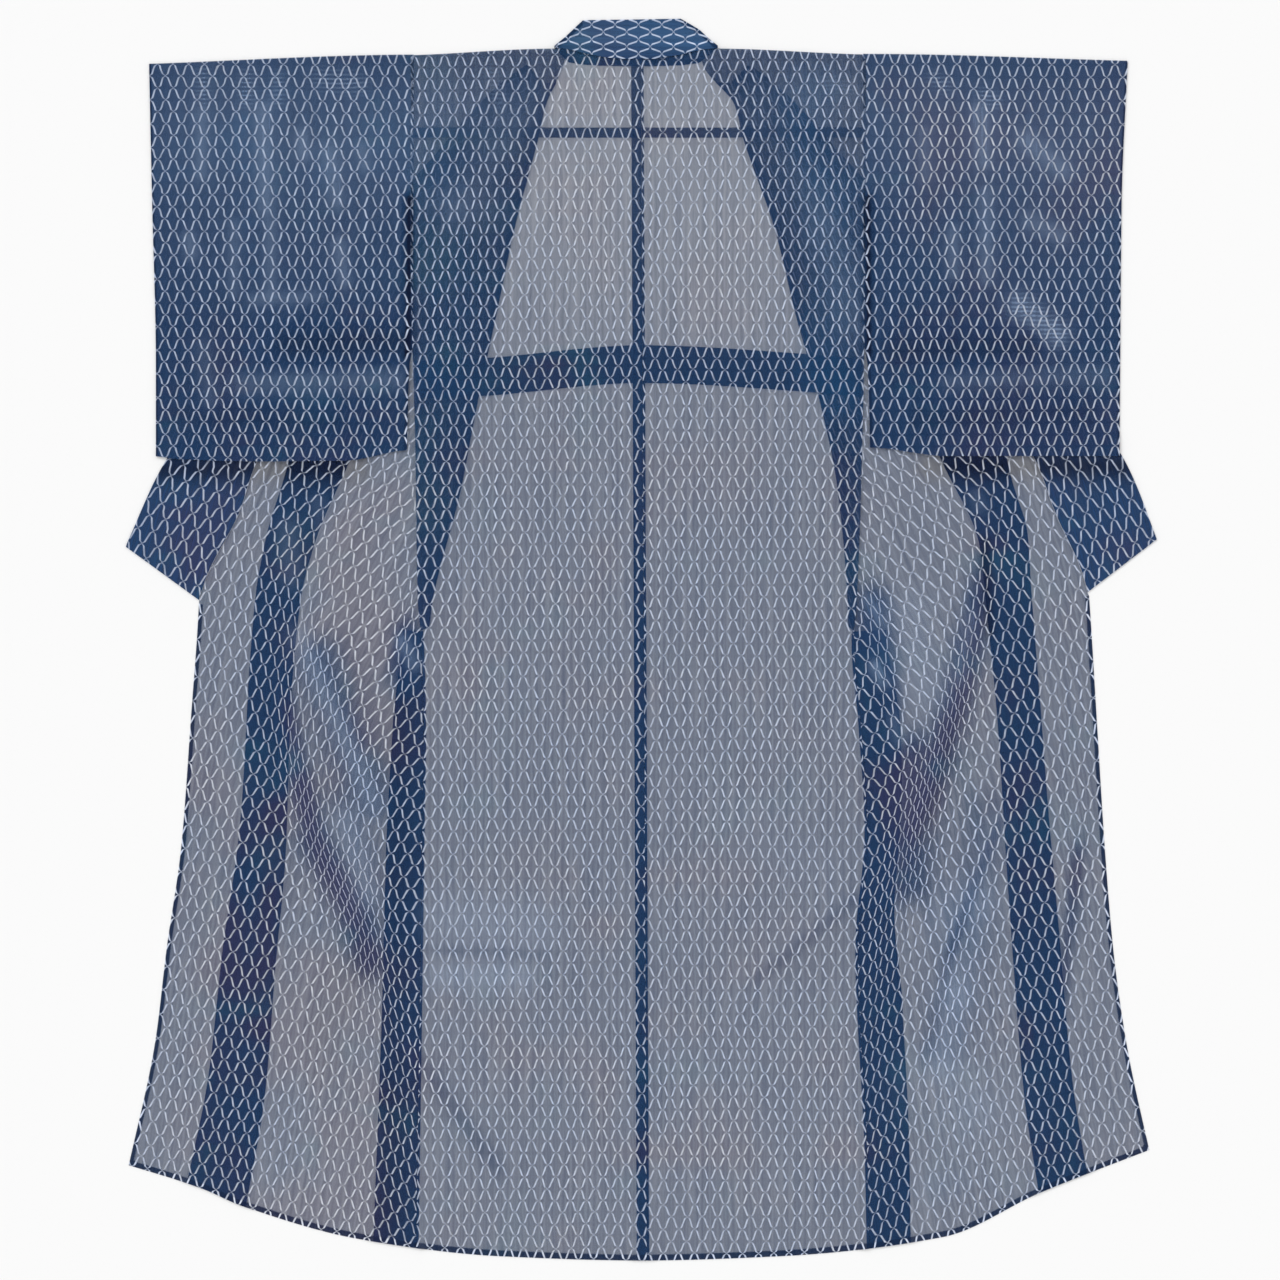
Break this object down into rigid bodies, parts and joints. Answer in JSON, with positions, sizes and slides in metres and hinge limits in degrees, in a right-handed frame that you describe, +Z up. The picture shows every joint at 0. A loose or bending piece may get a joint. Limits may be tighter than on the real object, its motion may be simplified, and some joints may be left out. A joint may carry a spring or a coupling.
{
  "type": "kimono laid flat",
  "caption": "Unlined kimono of sheer indigo gauze with a white net pattern, laid flat back upward, sleeves spread and fronts folded out beside the back.",
  "frame": {"origin": "middle of the garment's outline on the surface it lies on", "axes": "+Z up, +Y along the garment from hem to collar, +X towards the wearer's right sleeve; the back faces up"},
  "size_m": [1.3398, 1.6133, 0.0071],
  "materials": {
    "gauze": "open indigo gauze with fine warp stripes and a white net pattern, matt",
    "doubled_gauze": "the same indigo gauze, doubled or pressed as a seam allowance, matt"
  },
  "bodies": {
    "root": {"back_left": "gauze", "back_right": "gauze", "front_left": "gauze", "front_right": "gauze", "okumi_left": "gauze", "okumi_right": "gauze", "sleeve_left": "gauze", "sleeve_right": "gauze", "collar_neck": "doubled_gauze", "collar_left": "doubled_gauze", "collar_right": "doubled_gauze", "waist_tuck_left": "doubled_gauze", "waist_tuck_right": "doubled_gauze", "neck_tuck_left": "doubled_gauze", "neck_tuck_right": "doubled_gauze", "centre_seam_allowance": "doubled_gauze", "side_allowance_left": "doubled_gauze", "side_allowance_right": "doubled_gauze", "okumi_allowance_left": "doubled_gauze", "okumi_allowance_right": "doubled_gauze"}
  },
  "joints": []
}
